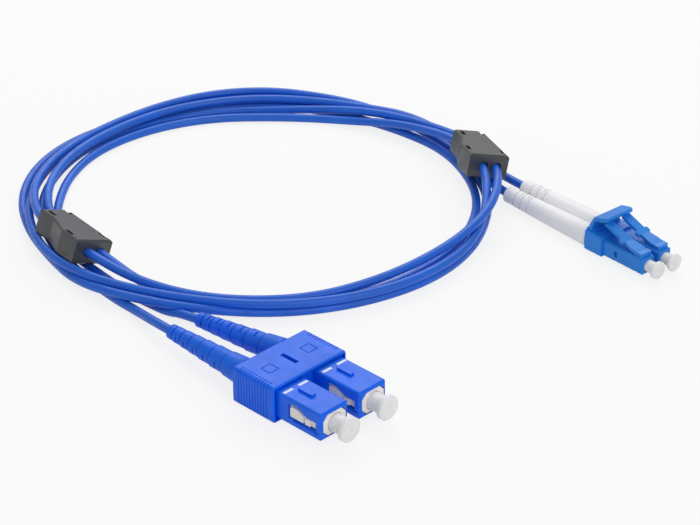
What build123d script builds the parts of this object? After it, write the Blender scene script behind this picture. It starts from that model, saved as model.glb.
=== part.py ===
from build123d import *
import math
import os

# Duplex fibre patch lead: a push-pull square connector pair at one end, a latched small connector
# pair at the other, two round cables wound into one ring and held side by side by two snap clips.
# Millimetres, +Z up, +X the way the connectors are pushed in. Lengths along X count from the rear
# face of the square pair's holder; the last step moves the origin under the middle of that pair.

# Clearances
SNUG = 0.05
RUNNING = 0.03
LOOSE = 0.1

# Cable
CABLE_D = 2.4

# Square pair: holder that joins the two grip sleeves
SC_PITCH = 12.7
HOLDER_L = 14.0
HOLDER_W = 24.3
HOLDER_H = 9.8
HOLDER_ROUND = 1.0
HOLDER_REAR_WALL = 1.2
HOLDER_FRONT_ROUND = 0.5
HOLDER_REAR_EDGE = 0.35
HOLDER_RIM = 0.6
HOLDER_RIM_DEPTH = 1.0
SLOT_L = 5.3
SLOT_W = 1.2
SLOT_DEPTH = 5.0
GRIP_COUNT = 11
GRIP_STEP = 0.95
GRIP_W = 0.3
GRIP_DEPTH = 0.13
GRIP_WRAP = 1.9
MARK_SIZE = 3.2
MARK_LINE = 0.25
MARK_DEPTH = 0.12

# Grip sleeve
SLEEVE_W = 9.0
SLEEVE_H = 7.4
SLEEVE_WALL = 0.7
SLEEVE_REACH = 14.45
SLEEVE_ROUND = 0.65
SLEEVE_LEAD = 0.6
BORE_CORNER = 1.5
KEY_L = 4.6
KEY_W = 1.3
KEY_H = 0.6
KEY_START = 3.0
WINDOW_START = 3.7
WINDOW_L = 9.0
WINDOW_LOW = 1.65
WINDOW_FRONT_HIGH = 0.9
WINDOW_HIGH = 2.4
WINDOW_SLIT_H = 0.5
WINDOW_SLIT_REAR = 1.6
WINDOW_SLIT_FRONT = 1.0
SHELL_TRAVEL = 2.0

# Plug frame inside each grip sleeve
FRAME_PROUD = 0.1
FRAME_REAR = 6.0
FRAME_CAVITY_D = 4.8
FRAME_SEAT = 15.6
FRAME_SEAT_T = 0.9
FRAME_CHAMBER_D = 4.6
CAM_GAP_REAR = 0.3
CAM_GAP_FRONT = 0.2
CAM_LOW = 1.4
CAM_HIGH = 1.4
CAM_FRONT_HIGH = 0.4
CAM_PROUD = 0.5
CAM_SLOT_W = 0.6

# Ferrule train of the square pair
SC_FERRULE_D = 2.5
SC_FERRULE_PROUD = 0.8
SC_FERRULE_SUNK = 2.6
SC_FLANGE_D = 4.2
SC_FLANGE_L = 3.0
SC_TAIL_D = 2.6
SC_TAIL_L = 4.4
SC_FIBRE_D = 1.0
SC_SPRING_OD = 3.9
SC_SPRING_ID = 2.9
SC_SPRING_L = 3.7
STOP_COLLAR_D = 5.6
STOP_COLLAR_L = 0.8
STOP_BORE_D = 2.8
STOP_STUB_D = 3.4
STOP_STUB_L = 4.7
SC_CRIMP_WALL = 0.3
SC_CRIMP_GRIP_L = 3.5

# Boot of the square pair: straight root, tapered tail that leans with its cable
SC_BOOT_ROOT_L = 4.0
SC_BOOT_ROOT_D = 4.8
SC_BOOT_LAP = 1.0
SC_BOOT_NECK_L = 1.0
SC_BOOT_NECK_D = 5.4
SC_BOOT_FLARE = 0.4
SC_BOOT_L = 29.15
SC_BOOT_D = 7.2
SC_BOOT_TIP_D = 3.9
SC_BOOT_HOLE_D = 8.2
SC_BOOT_SWING = (2.5, -4.6)
SC_BOOT_DROOP = (2.0, 2.9)
BOOT_RINGS = 6
BOOT_RING_FIRST = 7.2
BOOT_RING_STEP = 5.0
BOOT_RING_SHRINK = 0.88
BOOT_RING_W = 0.45
BOOT_RING_DEPTH = 0.4
BOOT_NICK_W = 0.45
BOOT_NICK_L = 1.9
SC_BOOT_NICK_TURN = (95, 15)

# Dust caps
SC_CAP_STEM_D = 4.6
SC_CAP_STEM_IN = 5.0
SC_CAP_STEM_OUT = 3.9
SC_CAP_DISC_D = 6.3
SC_CAP_DISC_T = 1.2
LC_CAP_STEM_D = 3.3
LC_CAP_STEM_IN = 0.6
LC_CAP_STEM_OUT = 2.9
LC_CAP_DISC_D = 4.8
LC_CAP_DISC_T = 0.9
CAP_EDGE = 0.2

# Small pair: own frame with x = 0 at the front of its housings, then set down at its place
LC_PLACE = (33.5, 107.0)
LC_TURN = -4.8
LC_PITCH = 6.25
LC_BODY_W = 4.5
LC_BODY_H = 4.5
LC_BODY_L = 19.2
LC_BODY_EDGE = 0.35
LC_FLOOR = 0.8
LC_CLIP_L = 6.2
LC_CLIP_W = 12.2
LC_CLIP_ROOF = 0.7
LC_CLIP_FLOOR = 0.3
LC_CLIP_REAR = 1.2
LC_RIDGE_L = 2.2
LC_RIDGE_H = 0.6
LC_FERRULE_D = 1.25
LC_FERRULE_PROUD = 3.0
LC_FERRULE_SUNK = 1.6
LC_FERRULE_TRAVEL = 1.2
LC_FRONT_WALL = 3.0
LC_FRONT_HOLE_D = 2.0
LC_CHAMBER_D = 3.5
LC_FLANGE_D = 3.2
LC_FLANGE_L = 2.0
LC_TAIL_D = 1.9
LC_TAIL_L = 4.0
LC_FIBRE_D = 0.6
LC_SPRING_OD = 3.0
LC_SPRING_ID = 2.1
LC_SPRING_L = 3.6
LC_BACKBONE_D = 3.4
LC_BACKBONE_BORE_D = 2.1
LC_STUB_D = 2.8
LC_STUB_L = 4.5
LC_CRIMP_WALL = 0.3
LC_CRIMP_L = 5.0
LC_BOOT_L = 31.2
LC_BOOT_D = 6.1
LC_BOOT_TIP_D = 4.6
LC_BOOT_RINGS = 3
LC_BOOT_RING_STEP = 2.6
LC_BOOT_TIP_LAND = 4.0
NOTCH_L = 1.2
NOTCH_H = 1.6
NOTCH_DEPTH = 0.5
NOTCH_BACK = 9.6
TOOTH_COUNT = 4
TOOTH_STEP = 2.4
TOOTH_L = 1.0
TOOTH_DEPTH = 0.3

# Latch arm and trigger of the small pair, each on a barrel at its root
LATCH_PIVOT_BACK = 3.0
LATCH_BARREL_R = 0.55
LATCH_ROOT_FRONT = 0.9
LATCH_L = 11.6
LATCH_RISE = 4.1
LATCH_KNEE = 4.4
LATCH_KNEE_RISE = 0.9
LATCH_T = 0.85
LATCH_ROOT_W = 3.6
LATCH_TAIL_W = 2.7
LATCH_LUG_W = 4.4
LATCH_LUG_BACK = 4.6
LATCH_LUG_L = 1.2
TRIGGER_BARREL_R = 0.6
TRIGGER_W = 10.4
TRIGGER_TONGUE_W = 9.0
TRIGGER_L = 5.9
TRIGGER_REAR_RISE = 3.95
TRIGGER_FRONT_RISE = 4.95
TRIGGER_T = 1.0

# Snap clips on the cable pair: stepped in plan, half widths towards -Y (near) and +Y (far)
CLIP_L = 21.0
CLIP_H = 6.8
CLIP_NEAR = 6.4
CLIP_NEAR_REAR = 3.7
CLIP_NEAR_RAMP = (-4.4, 3.2)
CLIP_FAR = 5.2
CLIP_FAR_REAR = 4.2
CLIP_FAR_RAMP = (-9.9, -8.0)
CLIP_PITCH = 3.9
CLIP_EDGE = 0.5
CLIP_POCKET_L = 3.0
CLIP_POCKET_W = 1.1
CLIP_POCKET_DEPTH = 0.8
CLIP_POCKETS = ((-7.4, -2.1), (-8.6, 4.0), (5.2, -5.2), (6.9, 4.4))
CLIP_TAB_L = 3.2
CLIP_TAB_T = 0.7
CLIP_TAB_DROP = 2.0
CLIP_NEAR_TAB = 6.4
CLIP_FAR_TAB = -4.0
# (x, y, z of the bore axis), (roll, pitch, turn) of each
CLIP_PLACES = {
    "left": ((-80.86, 5.81, 6.14), (-20.6, 1.6, -5.8)),
    "right": ((-34.31, 112.75, 8.07), (-12.6, -5.8, -28.0)),
}

# Coil: outer shape of the wound cable pair
COIL_CENTRE = (-67.35, 61.1)
COIL_OUTER_R = 65.5
COIL_INNER_R = 48.5
COIL_H = 6.8
COIL_EDGE = 2.0
COIL_CLIP_GAP = 0.2

# Cable tails: how far inside and beyond its boot's tip each starts, then the points to the coil
TAIL_INSIDE = 5.0
TAIL_LEAD = 6.0
SC_TAIL_POINTS = (
    ((-45.65, -2.3, 1.7), (-55.65, -0.7, 1.3)),
    ((-44.65, 3.0, 1.5),),
)
LC_TAIL_POINTS = (
    ((-36.15, 117.2, 1.25),),
    ((-34.65, 112.2, 1.25),),
)

SC_AXIS_Z = HOLDER_H / 2
LC_AXIS_Z = LC_FLOOR + LC_BODY_H / 2
LC_TOP = LC_FLOOR + LC_BODY_H
SLEEVE_FRONT = HOLDER_L + SLEEVE_REACH
SLEEVE_BORE_W = SLEEVE_W - 2 * SLEEVE_WALL
SLEEVE_BORE_H = SLEEVE_H - 2 * SLEEVE_WALL
FRAME_W = SLEEVE_BORE_W - 2 * LOOSE
FRAME_H = SLEEVE_BORE_H - 2 * LOOSE
FRAME_FRONT = SLEEVE_FRONT + FRAME_PROUD
CAM_START = WINDOW_START + CAM_GAP_REAR
CAM_L = WINDOW_L - SHELL_TRAVEL - CAM_GAP_REAR - CAM_GAP_FRONT
SC_FERRULE_TIP = FRAME_FRONT + SC_FERRULE_PROUD
LC_CLIP_BACK = -LC_BODY_L - LC_CLIP_REAR


def block(x, y, z):
    """Box between the pairs of limits x, y and z."""
    limits = (x, y, z)
    size = [high - low for low, high in limits]
    middle = [(low + high) / 2 for low, high in limits]
    return Pos(*middle) * Box(*size)


def centred(width):
    """Limits of a width about zero."""
    return (-width / 2, width / 2)


def about(middle, width):
    """Limits of a width about a middle."""
    return (middle - width / 2, middle + width / 2)


def turned(points):
    """Solid turned about the X axis from (x, radius) points."""
    outline = Polyline(*[(x, 0, radius) for x, radius in points], close=True)
    return revolve(make_face(outline), Axis.X)


def sleeve_tube(x, outer, inner):
    """Plain tube along X between the limits x."""
    return turned([(x[0], inner / 2), (x[0], outer / 2), (x[1], outer / 2), (x[1], inner / 2)])


def rod(x, diameter):
    """Plain round bar along X between the limits x."""
    return Pos((x[0] + x[1]) / 2, 0, 0) * Rot(0, 90, 0) * Cylinder(diameter / 2, x[1] - x[0])


def cross_rod(x, z, radius, width):
    """Round bar along Y at x, z."""
    return Pos(x, 0, z) * Rot(90, 0, 0) * Cylinder(radius, width)


def side_profile(points, width):
    """Outline of (x, z) points, drawn out to both sides along Y."""
    outline = Polyline(*[(x, 0, z) for x, z in points], close=True)
    return extrude(make_face(outline), amount=width / 2, dir=(0, 1, 0), both=True)


def plan_profile(half_widths, z):
    """Prism between the limits z, from (x, half width) points mirrored about the X axis."""
    near = [(x, -half, z[0]) for x, half in half_widths]
    far = [(x, half, z[0]) for x, half in reversed(half_widths)]
    outline = Polyline(*near, *far, close=True)
    return extrude(make_face(outline), amount=z[1] - z[0], dir=(0, 0, 1))


def sc_holder():
    """Block that joins the two grip sleeves: two pockets, a front rim, a slot, grips and marks."""
    body = block((0, HOLDER_L), centred(HOLDER_W), (0, HOLDER_H))
    body = fillet(body.edges().filter_by(Axis.X), HOLDER_ROUND)
    body = chamfer(body.faces().sort_by(Axis.X)[0].edges(), HOLDER_REAR_EDGE)
    body = fillet(body.faces().sort_by(Axis.X)[-1].edges(), HOLDER_FRONT_ROUND)
    body -= block(
        (HOLDER_L - HOLDER_RIM_DEPTH, HOLDER_L + 1),
        centred(HOLDER_W - 2 * HOLDER_RIM),
        (HOLDER_RIM, HOLDER_H - HOLDER_RIM),
    )
    for side in (-1, 1):
        middle = side * SC_PITCH / 2
        body -= block(
            (HOLDER_REAR_WALL, HOLDER_L + 1),
            about(middle, SLEEVE_W + 2 * SNUG),
            about(SC_AXIS_Z, SLEEVE_H + 2 * SNUG),
        )
        body -= Pos(0, middle, SC_AXIS_Z) * rod((-1, HOLDER_L), SC_BOOT_HOLE_D)
    body -= block(
        about(HOLDER_L / 2, SLOT_L), centred(SLOT_W), (HOLDER_H - SLOT_DEPTH, HOLDER_H + 1)
    )
    core = block((0, HOLDER_L), centred(HOLDER_W - 2 * GRIP_DEPTH), (GRIP_DEPTH, HOLDER_H - GRIP_DEPTH))
    core = fillet(core.edges().filter_by(Axis.X), HOLDER_ROUND - GRIP_DEPTH)
    for place in range(GRIP_COUNT):
        x = about(HOLDER_L / 2 + (place - (GRIP_COUNT - 1) / 2) * GRIP_STEP, GRIP_W)
        for side in (-1, 1):
            body -= block(x, about(side * HOLDER_W / 2, 2 * GRIP_WRAP), (-1, HOLDER_H + 1)) - core
    for side in (-1, 1):
        body -= mark_frame(HOLDER_L / 2, side * SC_PITCH / 2)
    return body


def mark_frame(x, y):
    """Shallow square frame engraved on the holder's top."""
    depth = (HOLDER_H - MARK_DEPTH, HOLDER_H + 1)
    outer = block(about(x, MARK_SIZE), about(y, MARK_SIZE), depth)
    inside = MARK_SIZE - 2 * MARK_LINE
    return outer - block(about(x, inside), about(y, inside), depth)


def window_outline(start, length, low, high, front_high):
    """Side window and cam share this outline: tall at the rear, a ramp down to the front."""
    front = start + length
    return [
        (start, -low),
        (front, -low),
        (front, front_high),
        (start + 0.65 * length, front_high + 0.1),
        (start + 0.33 * length, high),
        (start + 0.12 * length, high),
        (start, high - 0.5),
    ]


def sc_sleeve():
    """Grip sleeve: chamfered mouth, key on top, a window with a release ramp in each side."""
    body = block((HOLDER_REAR_WALL, SLEEVE_FRONT), centred(SLEEVE_W), centred(SLEEVE_H))
    body = fillet(body.edges().filter_by(Axis.X), SLEEVE_ROUND)
    body = chamfer(body.faces().sort_by(Axis.X)[-1].edges(), SLEEVE_LEAD)
    bore = block((0, SLEEVE_FRONT + 1), centred(SLEEVE_BORE_W), centred(SLEEVE_BORE_H))
    body -= chamfer(bore.edges().filter_by(Axis.X), BORE_CORNER)
    key_start = HOLDER_L + KEY_START
    top = SLEEVE_H / 2
    body += block((key_start, key_start + KEY_L), centred(KEY_W), (top - SLEEVE_WALL / 2, top + KEY_H))
    outline = window_outline(
        HOLDER_L + WINDOW_START, WINDOW_L, WINDOW_LOW, WINDOW_HIGH, WINDOW_FRONT_HIGH
    )
    body -= side_profile(outline, SLEEVE_W + 2)
    slit_start = HOLDER_L + WINDOW_START + WINDOW_SLIT_REAR
    return body - block(
        (slit_start, SLEEVE_FRONT - WINDOW_SLIT_FRONT),
        centred(SLEEVE_W + 2),
        (-WINDOW_LOW - WINDOW_SLIT_H, -WINDOW_LOW + SNUG),
    )


def sc_plug_frame():
    """Inner frame: cavity round the ferrule, flange seat, spring chamber and side cams."""
    body = block((FRAME_REAR, FRAME_FRONT), centred(FRAME_W), centred(FRAME_H))
    body = chamfer(body.edges().filter_by(Axis.X), BORE_CORNER)
    body = chamfer(body.faces().sort_by(Axis.X)[-1].edges(), SLEEVE_LEAD / 2)
    cam = side_profile(
        window_outline(HOLDER_L + CAM_START, CAM_L, CAM_LOW, CAM_HIGH, CAM_FRONT_HIGH),
        FRAME_W + 2 * CAM_PROUD,
    )
    slot = about(HOLDER_L + CAM_START + 0.7 * CAM_L, CAM_SLOT_W)
    for side in (-1, 1):
        cam -= block(slot, about(side * (FRAME_W / 2 + CAM_PROUD), 2 * CAM_PROUD), (-CAM_LOW, CAM_HIGH))
    body += cam
    body -= rod((FRAME_SEAT + FRAME_SEAT_T, FRAME_FRONT + 1), FRAME_CAVITY_D)
    body -= rod((FRAME_REAR - 1, FRAME_SEAT), FRAME_CHAMBER_D)
    return body - rod((FRAME_REAR, FRAME_FRONT), SC_FERRULE_D + 2 * LOOSE)


def ferrule(tip, rear, diameter):
    """Ceramic ferrule with a chamfered tip."""
    radius = diameter / 2
    lead = radius * 0.3
    return turned([(rear, 0), (rear, radius), (tip - lead, radius), (tip, radius - lead), (tip, 0)])


def flange(seat, head_l, head_d, tail_l, tail_d, sunk, ferrule_d, fibre_d):
    """Metal flange that carries the ferrule, with a tail through the spring."""
    rear = seat - head_l
    end = rear - tail_l
    socket = seat - sunk
    return turned([
        (end, fibre_d / 2),
        (end, tail_d / 2),
        (rear, tail_d / 2),
        (rear, head_d / 2),
        (seat, head_d / 2),
        (seat, ferrule_d / 2),
        (socket, ferrule_d / 2),
        (socket, fibre_d / 2),
    ])


def sc_stop_ring():
    """Rear stop: plug in the frame's chamber, collar against the frame, stub for the crimp."""
    front = FRAME_SEAT - SC_FLANGE_L - SC_SPRING_L
    collar = FRAME_REAR - STOP_COLLAR_L
    end = collar - STOP_STUB_L
    plug_r = FRAME_CHAMBER_D / 2 - SNUG
    return turned([
        (end, STOP_BORE_D / 2),
        (end, STOP_STUB_D / 2),
        (collar, STOP_STUB_D / 2),
        (collar, STOP_COLLAR_D / 2),
        (FRAME_REAR, STOP_COLLAR_D / 2),
        (FRAME_REAR, plug_r),
        (front, plug_r),
        (front, STOP_BORE_D / 2),
    ])


def crimp_sleeve(front, step, end, stub_d, wall):
    """Crimped tube: wide over the stub, pressed down onto the cable behind it."""
    wide = stub_d / 2
    narrow = CABLE_D / 2 + SNUG
    return turned([
        (end, narrow),
        (end, narrow + wall),
        (step - wall, narrow + wall),
        (step - wall, wide + wall),
        (front, wide + wall),
        (front, wide),
        (step, wide),
        (step, narrow),
    ])


def ring_places(first, step, shrink, count):
    """Distances of the flex rings from a boot's root; each gap is shrink times the one before."""
    return [first + sum(step * shrink**gap for gap in range(ring)) for ring in range(count)]


def boot_tail(root, length, root_d, tip_d, rings, nick_turn=0):
    """Tail along -X: root outline, then lands that step down between flex rings, with nicks on them."""
    slope = (root_d - tip_d) / 2 / length
    outline = list(root)
    radius = root_d / 2 - slope * rings[0]
    for at, following in zip(rings, [*rings[1:], length]):
        floor = radius - BOOT_RING_DEPTH
        outline += [(-at, radius), (-at, floor), (-at - BOOT_RING_W, floor)]
        radius = root_d / 2 - slope * following
        outline.append((-at - BOOT_RING_W, radius))
    outline += [(-length, radius), (-length, 0)]
    tail = turned(outline)
    for at, following in zip(rings, rings[1:]):
        radius = root_d / 2 - slope * following
        for side in (-1, 1):
            nick = block(
                about(-(at + following) / 2, BOOT_NICK_W),
                centred(BOOT_NICK_L),
                about(side * radius, 2 * BOOT_RING_DEPTH),
            )
            tail -= Rot(nick_turn, 0, 0) * nick
    return tail


def sc_boot(lean, nick_turn):
    """Strain relief boot: root over the crimp, neck that the holder slides on, tail that leans."""
    crimp_d = STOP_STUB_D + 2 * SC_CRIMP_WALL + 2 * LOOSE
    rings = ring_places(BOOT_RING_FIRST, BOOT_RING_STEP, BOOT_RING_SHRINK, BOOT_RINGS)
    neck = [
        (SC_BOOT_LAP, 0),
        (SC_BOOT_LAP, SC_BOOT_NECK_D / 2),
        (-SC_BOOT_NECK_L, SC_BOOT_NECK_D / 2),
        (-SC_BOOT_NECK_L - SC_BOOT_FLARE, SC_BOOT_D / 2),
    ]
    tail = boot_tail(neck, SC_BOOT_L, SC_BOOT_D, SC_BOOT_TIP_D, rings, nick_turn)
    tail -= rod((-SC_BOOT_L - 1, SC_BOOT_LAP + 1), CABLE_D + 2 * SNUG)
    root = rod((0, SC_BOOT_ROOT_L), SC_BOOT_ROOT_D)
    body = lean * tail + root
    end = FRAME_REAR - STOP_COLLAR_L - STOP_STUB_L - SC_CRIMP_GRIP_L
    body -= rod((end - LOOSE, SC_BOOT_ROOT_L + 1), crimp_d)
    return body


def boot_lean(side):
    """Turn of one square connector's boot about its root."""
    return Rot(0, -SC_BOOT_DROOP[side], -SC_BOOT_SWING[side])


def dust_cap(face, stem_in, stem_out, stem_d, disc_t, disc_d, tip, bore_d):
    """Moulded cap: hollow stem over the ferrule and a thumb disc."""
    start = face - stem_in
    disc = face + stem_out
    front = disc + disc_t
    return turned([
        (start, bore_d / 2),
        (start, stem_d / 2),
        (disc, stem_d / 2),
        (disc, disc_d / 2),
        (front - CAP_EDGE, disc_d / 2),
        (front, disc_d / 2 - CAP_EDGE),
        (front, 0),
        (tip + LOOSE, 0),
        (tip + LOOSE, bore_d / 2),
    ])


def lc_place(side=0):
    """Place of the small pair, or of one of its two axes."""
    base = Pos(LC_PLACE[0], LC_PLACE[1], 0) * Rot(0, 0, LC_TURN)
    if side == 0:
        return base
    return base * Pos(0, side * LC_PITCH / 2, LC_AXIS_Z)


def latch_pivot_z():
    return LC_TOP + LATCH_BARREL_R + SNUG - LC_AXIS_Z


def lc_housing():
    """Housing about its own axis: chambered bore, latch root, side notch and underside teeth."""
    low = LC_FLOOR - LC_AXIS_Z
    high = LC_TOP - LC_AXIS_Z
    body = block((-LC_BODY_L, 0), centred(LC_BODY_W), (low, high))
    body = chamfer(body.edges().filter_by(Axis.X), LC_BODY_EDGE)
    body = chamfer(body.faces().sort_by(Axis.X)[-1].edges(), LC_BODY_EDGE)
    pivot_z = latch_pivot_z()
    root = block(
        (-LATCH_PIVOT_BACK, -LATCH_ROOT_FRONT), centred(LATCH_ROOT_W), (high - SNUG, pivot_z + LATCH_BARREL_R)
    )
    root -= cross_rod(-LATCH_PIVOT_BACK, pivot_z, LATCH_BARREL_R + SNUG, LC_BODY_W)
    body += root
    body -= rod((-LC_BODY_L - 1, -LC_FRONT_WALL), LC_CHAMBER_D)
    body -= rod((-LC_BODY_L, 1), LC_FRONT_HOLE_D)
    recess = -LC_CAP_STEM_IN - LC_FERRULE_TRAVEL - LOOSE
    body -= rod((recess, 1), LC_CAP_STEM_D + 2 * LOOSE)
    for side in (-1, 1):
        wall = about(side * LC_BODY_W / 2, 2 * NOTCH_DEPTH)
        body -= block(about(-NOTCH_BACK, NOTCH_L), wall, centred(NOTCH_H))
    for tooth in range(TOOTH_COUNT):
        x = about(-TOOTH_STEP * (tooth + 1), TOOTH_L)
        body -= block(x, centred(LC_BODY_W + 1), about(low, 2 * TOOTH_DEPTH))
    return body


def lc_latch():
    """Latch arm: barrel at the front root, side lugs, narrow tail rising to the rear."""
    front = -LATCH_PIVOT_BACK
    pivot_z = latch_pivot_z()
    top = pivot_z + LATCH_BARREL_R
    knee = front - LATCH_KNEE
    knee_top = top + LATCH_KNEE_RISE
    end = front - LATCH_L
    profile = side_profile(
        [
            (front, top),
            (knee, knee_top),
            (end, pivot_z + LATCH_RISE),
            (end, pivot_z + LATCH_RISE - LATCH_T),
            (knee, knee_top - LATCH_T),
            (front, pivot_z - 0.8 * LATCH_BARREL_R),
        ],
        LATCH_LUG_W,
    )
    lug = front - LATCH_LUG_BACK
    plan = plan_profile(
        [
            (front + 1, LATCH_ROOT_W / 2),
            (front - 0.15 * LATCH_L, LATCH_ROOT_W / 2),
            (lug + 0.2, LATCH_TAIL_W / 2),
            (lug, LATCH_LUG_W / 2),
            (lug - LATCH_LUG_L, LATCH_LUG_W / 2),
            (lug - LATCH_LUG_L - 0.2, LATCH_TAIL_W / 2),
            (end - 1, LATCH_TAIL_W / 2),
        ],
        (0, pivot_z + LATCH_RISE + 1),
    )
    return (profile & plan) + cross_rod(front, pivot_z, LATCH_BARREL_R, LATCH_ROOT_W)


def trigger_pivot():
    """x and z of the trigger's barrel in the small pair's frame."""
    return LC_CLIP_BACK + LC_RIDGE_L / 2, LC_TOP + LC_CLIP_ROOF + LC_RIDGE_H


def lc_clip():
    """Block that joins the two housings at the rear, with a grooved ridge for the trigger."""
    front = LC_CLIP_BACK + LC_CLIP_L
    roof = LC_TOP + LC_CLIP_ROOF
    body = block((LC_CLIP_BACK, front), centred(LC_CLIP_W), (LC_FLOOR - LC_CLIP_FLOOR, roof))
    body = chamfer(body.edges().filter_by(Axis.X), LC_BODY_EDGE)
    body = chamfer(body.faces().sort_by(Axis.X)[0].edges().filter_by(Axis.Z), LC_BODY_EDGE)
    pivot_x, pivot_z = trigger_pivot()
    body += block((LC_CLIP_BACK, LC_CLIP_BACK + LC_RIDGE_L), centred(TRIGGER_W), (roof - SNUG, pivot_z))
    body -= cross_rod(pivot_x, pivot_z, TRIGGER_BARREL_R + SNUG, LC_CLIP_W)
    for side in (-1, 1):
        middle = side * LC_PITCH / 2
        body -= block(
            (-LC_BODY_L, front + 1),
            about(middle, LC_BODY_W + 2 * SNUG),
            (LC_FLOOR - SNUG, LC_TOP + SNUG),
        )
        body -= Pos(0, middle, LC_AXIS_Z) * rod((LC_CLIP_BACK - 1, 0), LC_STUB_D + 2 * LOOSE)
    return body


def lc_trigger():
    """Bridge over both latch tails: barrel at the rear, thumb plate rising to the front."""
    pivot_x, pivot_z = trigger_pivot()
    shoulder = pivot_x + 0.22 * TRIGGER_L
    tip = pivot_x + TRIGGER_L
    profile = side_profile(
        [
            (pivot_x - 0.45, pivot_z),
            (pivot_x - 0.3, pivot_z + 0.9),
            (shoulder, pivot_z + TRIGGER_REAR_RISE),
            (tip - 0.5, pivot_z + TRIGGER_FRONT_RISE),
            (tip, pivot_z + TRIGGER_FRONT_RISE - 0.3),
            (tip - 0.2, pivot_z + TRIGGER_FRONT_RISE - TRIGGER_T),
            (shoulder + 0.5, pivot_z + TRIGGER_REAR_RISE - TRIGGER_T),
            (pivot_x + 0.6, pivot_z + 0.5),
            (pivot_x + 0.45, pivot_z),
        ],
        TRIGGER_W,
    )
    plan = plan_profile(
        [
            (pivot_x - 1, TRIGGER_W / 2),
            (tip - 0.25 * TRIGGER_L, TRIGGER_W / 2),
            (tip, TRIGGER_TONGUE_W / 2),
            (tip + 1, TRIGGER_TONGUE_W / 2),
        ],
        (pivot_z - 1, pivot_z + TRIGGER_FRONT_RISE + 1),
    )
    return (profile & plan) + cross_rod(pivot_x, pivot_z, TRIGGER_BARREL_R, TRIGGER_W)


def lc_backbone():
    """Rear insert of one housing, with the stub that the cable is crimped to."""
    front = -LC_FRONT_WALL - LC_FLANGE_L - LC_SPRING_L
    end = LC_CLIP_BACK - LC_STUB_L
    return turned([
        (end, LC_BACKBONE_BORE_D / 2),
        (end, LC_STUB_D / 2),
        (-LC_BODY_L, LC_STUB_D / 2),
        (-LC_BODY_L, LC_BACKBONE_D / 2),
        (front, LC_BACKBONE_D / 2),
        (front, LC_BACKBONE_BORE_D / 2),
    ])


def lc_boot():
    """Long smooth boot with a few flex rings near its tip only."""
    crimp_d = LC_STUB_D + 2 * LC_CRIMP_WALL + 2 * LOOSE
    first = LC_BOOT_L - LC_BOOT_TIP_LAND - (LC_BOOT_RINGS - 1) * LC_BOOT_RING_STEP
    rings = ring_places(first, LC_BOOT_RING_STEP, 1, LC_BOOT_RINGS)
    tail = boot_tail([(0, 0), (0, LC_BOOT_D / 2)], LC_BOOT_L, LC_BOOT_D, LC_BOOT_TIP_D, rings)
    tail -= rod((-LC_BOOT_L - 1, 1), CABLE_D + 2 * SNUG)
    tail -= rod((-LC_STUB_L - LC_CRIMP_L, 1), crimp_d)
    return Pos(LC_CLIP_BACK, 0, 0) * tail


def cable_clip():
    """Snap clip in two halves, split through its two bores: (base, cover)."""
    end = CLIP_L / 2
    outline = Polyline(
        (-end, -CLIP_NEAR_REAR),
        (CLIP_NEAR_RAMP[0], -CLIP_NEAR_REAR),
        (CLIP_NEAR_RAMP[1], -CLIP_NEAR),
        (end, -CLIP_NEAR),
        (end, CLIP_FAR),
        (CLIP_FAR_RAMP[1], CLIP_FAR),
        (CLIP_FAR_RAMP[0], CLIP_FAR_REAR),
        (-end, CLIP_FAR_REAR),
        close=True,
    )
    body = Pos(0, 0, -CLIP_H / 2) * extrude(make_face(outline), amount=CLIP_H, dir=(0, 0, 1))
    for level in (0, -1):
        body = chamfer(body.faces().sort_by(Axis.Z)[level].edges(), CLIP_EDGE)
    for side in (-1, 1):
        body -= Pos(0, side * CLIP_PITCH / 2, 0) * rod((-CLIP_L, CLIP_L), CABLE_D + 2 * LOOSE)
    for x, y in CLIP_POCKETS:
        body -= block(
            about(x, CLIP_POCKET_L), about(y, CLIP_POCKET_W), (CLIP_H / 2 - CLIP_POCKET_DEPTH, CLIP_H)
        )
    reach = centred(2 * CLIP_L)
    base = body & block(reach, reach, (-CLIP_H, 0))
    cover = body & block(reach, reach, (0, CLIP_H))
    for x, outside in ((CLIP_NEAR_TAB, -CLIP_NEAR), (CLIP_FAR_TAB, CLIP_FAR)):
        inside = outside - math.copysign(CLIP_TAB_T, outside)
        wall = sorted((inside, outside))
        base -= block(about(x, CLIP_TAB_L + 2 * SNUG), wall, (-CLIP_TAB_DROP - SNUG, 0))
        face = sorted((inside + math.copysign(SNUG, outside), outside))
        cover += block(about(x, CLIP_TAB_L), face, (-CLIP_TAB_DROP, CLIP_H / 4))
    return base, cover


def clip_place(side):
    """Place of one snap clip on the coil."""
    (x, y, z), (roll, pitch, turn) = CLIP_PLACES[side]
    return Pos(x, y, z) * Rot(0, 0, turn) * Rot(0, pitch, 0) * Rot(roll, 0, 0)


def coil(tails):
    """Ring of the bundle's outer shape, with a seat cut for each snap clip and each tail."""
    inner = COIL_INNER_R
    outer = COIL_OUTER_R
    section = Polyline(
        (inner, 0, 0),
        (outer, 0, 0),
        (outer, 0, COIL_H - COIL_EDGE),
        (outer - COIL_EDGE, 0, COIL_H),
        (inner + COIL_EDGE, 0, COIL_H),
        (inner, 0, COIL_H - COIL_EDGE),
        close=True,
    )
    ring = Pos(COIL_CENTRE[0], COIL_CENTRE[1], 0) * revolve(make_face(section), Axis.Z)
    for side in CLIP_PLACES:
        low = -CLIP_H / 2 - COIL_CLIP_GAP
        wide = 2 * max(CLIP_NEAR, CLIP_FAR) + 2 * COIL_CLIP_GAP
        seat = block(centred(CLIP_L + 2 * COIL_CLIP_GAP), centred(wide), (low, 2 * CLIP_H))
        ring -= clip_place(side) * seat
    for tail in tails:
        ring -= tail
    return ring


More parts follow.
